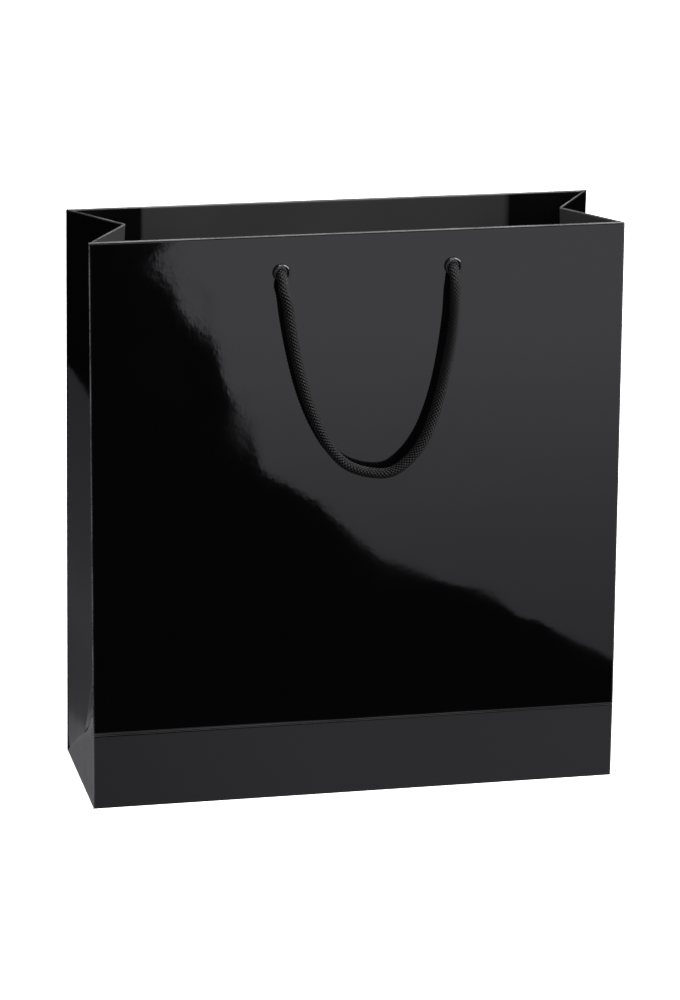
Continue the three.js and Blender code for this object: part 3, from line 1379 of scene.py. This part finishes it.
@dataclass
class Bottom:
    """The glued bottom flaps and the loose board on them."""

    sizes: BagSizes
    overlap: float = 16 * MM
    inset: float = 0.4 * MM
    cut: float = 26 * MM
    cut_from: float = 0.55

    def flap(self, facing: Facing, level: float, finishes: Finishes) -> bpy.types.Object:
        """Builds one long outer flap with cut corners.

        Args:
            facing: which side it is folded in from.
            level: the height of its lower face.
            finishes: the bag's materials.

        Returns:
            The flap, riding on the base.
        """
        size = self.sizes
        wide = size.half_width - self.inset
        across = steps(-1.0, 1.0, 0.004, 0.05, 0.02)
        depth = np.linspace(0.0, 1.0, 14)
        grid = []
        for v in depth:
            y = size.half_base - self.inset - (size.half_base + self.overlap) * v
            half = wide - self.cut * max(0.0, v - self.cut_from) / (1 - self.cut_from)
            grid.append([(x * half, facing.value * y, level) for x in across])
        points = np.array(grid)
        # folded ends greyed as cracked ink and painted highlight
        wear = np.repeat(near(depth, (0.0, 1.0), 0.03)[:, None], len(across), axis=1)
        piece = Sheet(points, wear, size.paper).build(
            f"bottom_{facing.name.lower()}_flap_sheet", finishes, (0.0, 0.0, -1.0)
        )
        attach(piece, "base")
        return piece

    def build(self, finishes: Finishes) -> None:
        """Builds the flaps and dresses the pieces that stay as they are.

        Args:
            finishes: the bag's materials.
        """
        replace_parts(self.flap(Facing.FRONT, 0.0, finishes), "bottom_outer_flap")
        self.flap(Facing.REAR, 0.05 * MM + self.sizes.paper, finishes)
        dress("bottom_board", finishes.board)
        for side in Side:
            dress(f"bottom_inner_flap_{side.name.lower()}", finishes.raw)


def dress(node: str, material: bpy.types.Material) -> None:
    """Gives a CAD node its finish.

    Args:
        node: the node's name.
        material: its material.
    """
    mesh = frame["nodes"][node].data
    mesh.materials.clear()
    mesh.materials.append(material)
    LOG.info("%s: dressed", node)


# ---------------------------------------------------------------- the studio


@dataclass
class Studio:
    """A pale floor, soft lights and the camera."""

    eye: Point = (-0.592, -2.6684, 1.0333)
    heading: float = math.radians(12.4965)
    dip: float = math.radians(17.2233)
    roll: float = math.radians(0.7647)
    lens: float = 155.1
    far: float = 12.0
    depth: float = 0.5 * MM

    def camera(self) -> None:
        """Makes the camera."""
        data = bpy.data.cameras.new("camera")
        data.lens = self.lens
        data.sensor_width = 36.0
        data.clip_start, data.clip_end = 0.05, 100.0
        camera = linked("camera", data)
        camera.location = self.eye
        look = Euler((math.pi / 2 - self.dip, 0.0, -self.heading), "XYZ").to_matrix()
        roll = Euler((0.0, 0.0, self.roll), "XYZ").to_matrix()
        camera.rotation_euler = (look @ roll).to_euler()
        bpy.context.scene.camera = camera

    def slab(self, name: str, outline: Sequence[tuple[float, float]], level: float,
             material: bpy.types.Material) -> bpy.types.Object:
        """Makes one flat piece of the set.

        Args:
            name: its name.
            outline: its corners.
            level: its height.
            material: its finish.

        Returns:
            The piece.
        """
        mesh = bpy.data.meshes.new(name)
        corners = [(x, y, level) for x, y in outline]
        mesh.from_pydata(corners, [], [tuple(range(len(corners)))])
        mesh.materials.append(material)
        if mesh.polygons[0].normal.z < 0:
            mesh.flip_normals()
        part = linked(name, mesh)
        return part

    def floor(self) -> None:
        """Makes the pale floor, which the bag's gloss doesn't mirror."""
        material, tree, shader = new_material("studio_floor")
        clouds = tree.noise(tree.place(), 3.0, 2.0)
        tree.feed(shader, {
            "Base Color": tree.mixed(clouds, (0.86,) * 3, (0.9,) * 3), "Roughness": 0.9,
            "Specular IOR Level": 0.0, "Emission Color": (1.0,) * 4, "Emission Strength": 0.92,
        })
        far = self.far
        corners = [(-far, -far), (far, -far), (far, far), (-far, far)]
        part = self.slab("floor", corners, 0.0, material)
        part.visible_glossy = False
        part.visible_diffuse = False

    def cards(self) -> None:
        """Makes the light cards that the gloss mirrors in the floor's place."""
        right = [
            (0.9, -self.far), (0.248, -2.6), (0.232, -2.05), (0.192, -1.89), (0.184, -1.62),
            (0.169, -1.4), (0.146, -1.24), (0.122, -1.08), (0.118, -0.97), (0.131, -0.88),
            (0.143, -0.83), (0.146, -0.77), (0.149, -0.64), (0.176, -0.575), (0.208, -0.53),
            (0.218, -0.455), (0.25, -0.35), (0.27, -0.215), (self.far, -0.215),
            (self.far, -self.far),
        ]
        strip = [(-0.176, -0.215), (self.far, -0.215), (self.far, 0.0), (-0.176, 0.0)]
        left = [(-0.95, -0.1), (-0.1765, -0.1), (-0.1765, 3.0), (-1.3, 3.0)]
        rear = [(-0.176, 0.0), (0.7, 0.0), (0.7, self.far), (-0.176, self.far)]
        self.card("card_right", right, lambda x, y: (y * -1.0).between(0.2, 1.7) * 0.6 + 0.55)
        self.card(
            "card_strip", strip,
            lambda x, y: x.between(-0.2, 0.0) * 0.14 + x.between(0.0, 0.25) * 0.06 + 0.44,
        )
        self.card(
            "card_left", left,
            lambda x, y: (x * -1.0).between(0.22, 0.42) * 0.085 + (x * -1.0).between(0.5, 1.0) * 0.02
            + x.between(-0.212, -0.196) * 0.075 + 0.13,
        )
        self.card("card_rear", rear, lambda x, y: y.between(0.0, 1.5) * 0.4 + 0.5)

    def card(self, name: str, outline: Sequence[tuple[float, float]],
             level: Callable[[Num, Num], Num]) -> None:
        """Makes one light card just under the floor.

        Args:
            name: the card's name.
            outline: its corners.
            level: gives its brightness from the place on it.
        """
        material, tree, _ = new_material(name)
        split = tree.node("ShaderNodeSeparateXYZ", {}, {"Vector": tree.place()})
        strength = level(tree.num(split, "X"), tree.num(split, "Y"))
        glow = tree.out(
            "ShaderNodeEmission", {}, {"Strength": strength, "Color": (0.99, 0.99, 1.06, 1.0)}
        )
        shown = next(n for n in material.node_tree.nodes if n.type == "OUTPUT_MATERIAL")
        tree.feed(shown, {"Surface": glow})
        part = self.slab(name, outline, -self.depth, material)
        part.visible_camera = part.visible_diffuse = part.visible_shadow = False

    def light(
        self, name: str, kind: str, place: Point, aim: Point, settings: dict[str, float]
    ) -> bpy.types.Object:
        """Makes one soft light, which the camera doesn't see.

        Args:
            name: the light's name.
            kind: SUN for a part of the sky or AREA for a square softbox.
            place: where it stands, or the side of the sky that it comes from.
            aim: the point that it faces.
            settings: its size and its strength.

        Returns:
            The light.
        """
        data = bpy.data.lights.new(name, kind)
        for key, value in settings.items():
            setattr(data, key, value)
        light = linked(name, data)
        light.location = place
        light.rotation_euler = (Vector(aim) - Vector(place)).to_track_quat("-Z", "Y").to_euler()
        light.visible_camera = False
        return light

    def world(self) -> None:
        """Makes the surroundings: pale to the eye, dim in reflections."""
        world = bpy.data.worlds.new("surroundings")
        bpy.context.scene.world = world
        world.use_nodes = True
        tree = Tree(world.node_tree)
        back = world.node_tree.nodes["Background"]
        rays = tree.node("ShaderNodeLightPath")
        seen = tree.num(rays, "Is Camera Ray") * 0.98
        spread = tree.num(rays, "Is Diffuse Ray") * 0.3
        tree.feed(back, {"Strength": seen + spread, "Color": (1.0,) * 4})

    def build(self) -> None:
        """Makes everything but the camera."""
        self.floor()
        self.cards()
        self.world()
        middle = (0.0, 0.0, 0.0)
        self.light("sky", "SUN", (0.75, -0.25, 0.6), middle,
                   {"energy": 6.0, "angle": math.radians(50)})
        fill = self.light("fill", "SUN", (-0.8, -0.4, 0.5), middle,
                          {"energy": 2.2, "angle": math.radians(60)})
        fill.visible_glossy = False
        overhead = self.light("overhead", "AREA", (0.5, -0.5, 2.2), (0.0, -0.3, 0.0),
                              {"energy": 60.0, "size": 2.4})
        overhead.visible_diffuse = False
        self.light("spark", "AREA", (-0.1, -1.5, 2.0), (0.0, 0.0, 0.35),
                   {"energy": 12.0, "size": 0.3})
        bpy.context.scene.view_settings.view_transform = "Standard"


def main() -> None:
    """Builds the bag from its frame, and the studio round it."""
    logging.basicConfig(level=logging.INFO, format="%(message)s")
    studio = Studio()
    studio.camera()
    finishes = Finishes.made()
    sizes = BagSizes.from_frame()
    walls = [MainWall(sizes, Facing.FRONT, sizes.crease), MainWall(sizes, Facing.REAR, 0.0)]
    braid_tree = Braid().tree(finishes.yarn)
    for wall in walls:
        RopeHandle(wall, finishes, braid_tree).build()
    for wall in walls:
        wall.build(finishes)
        dress(f"{wall.name}_rim_card", finishes.board)
        for side in Side:
            Eyelet(wall, side).build(finishes)
            dress(f"{wall.name}_{side.name.lower()}_washer", finishes.metal)
    BaseStrip(sizes).build(finishes)
    for side in Side:
        FootFold(sizes, side).build(finishes)
        for facing in Facing:
            HalfGusset(sizes, side, facing).build(finishes)
    dress("side_seam_flap", finishes.raw)
    Bottom(sizes).build(finishes)
    studio.build()


if __name__ == "__main__":
    main()
